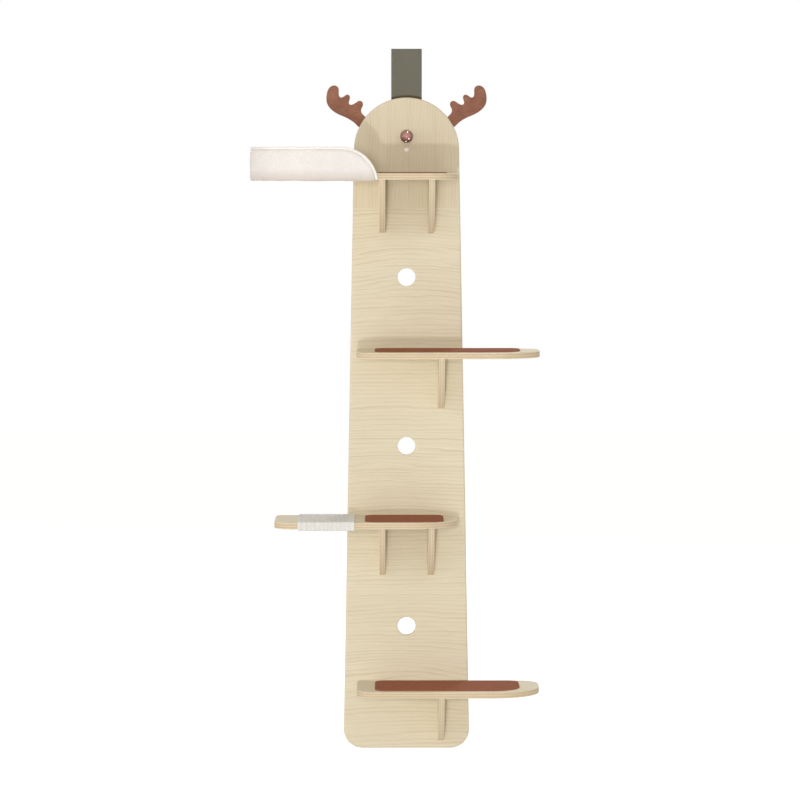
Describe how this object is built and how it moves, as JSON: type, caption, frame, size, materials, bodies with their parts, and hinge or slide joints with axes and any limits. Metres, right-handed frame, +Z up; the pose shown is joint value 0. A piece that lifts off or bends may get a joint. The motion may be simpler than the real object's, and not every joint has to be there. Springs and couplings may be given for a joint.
{
  "type": "wall mounted cat tree",
  "caption": "Tall tapered plywood wall board with a round reindeer head, antlers, side shelves on gusset brackets, a plush walled nest and a hanging strap.",
  "frame": {"origin": "middle of the rear splice plate's back face, on the wall plane, at the height of the seam between head board and body board", "axes": "+Z up, +Y into the wall, +X to the right seen from the front; steps reach towards -Y"},
  "size_m": [0.6808, 0.3703, 1.677],
  "materials": {
    "birch_plywood": "clear matt lacquer over pale veneer",
    "brown_felt": "needle felt",
    "white_plush": "short pile plush",
    "cream_piping": "covered cord",
    "white_cord_wrap": "wound cotton cord",
    "brown_antler": "matt brown stain",
    "brown_lacquer": "high gloss",
    "grey_webbing": "woven webbing",
    "cream_plastic": "satin",
    "grey_foam": "closed cell foam",
    "zinc_steel": "zinc plated"
  },
  "bodies": {
    "root": {"antler_left": "brown_antler", "antler_right": "brown_antler", "antler_screws": "zinc_steel", "body_board": "birch_plywood", "bracket_bolts": "zinc_steel", "bracket_nuts": "zinc_steel", "clamp_screws": "zinc_steel", "grip_wrap": "white_cord_wrap", "hanging_strap": "grey_webbing", "head_board": "birch_plywood", "lower_bracket": "birch_plywood", "lower_mat": "brown_felt", "lower_shelf": "birch_plywood", "middle_bracket_left": "birch_plywood", "middle_bracket_right": "birch_plywood", "middle_mat": "brown_felt", "middle_shelf": "birch_plywood", "nest_cover": "white_plush", "nest_cushion": "white_plush", "nest_piping": "cream_piping", "nest_screws": "zinc_steel", "nest_wall": "birch_plywood", "nose_knob": "brown_lacquer", "nose_screw": "zinc_steel", "platform_bracket_left": "birch_plywood", "platform_bracket_right": "birch_plywood", "platform_mat": "brown_felt", "screw_cap": "cream_plastic", "shelf_bolts": "zinc_steel", "shelf_nuts": "zinc_steel", "splice_bolts": "zinc_steel", "splice_plate": "birch_plywood", "splice_screws": "zinc_steel", "step_screws": "zinc_steel", "strap_clamp": "zinc_steel", "top_platform": "birch_plywood", "upper_bracket": "birch_plywood", "upper_mat": "brown_felt", "upper_shelf": "birch_plywood", "wall_pads": "grey_foam"}
  },
  "joints": []
}
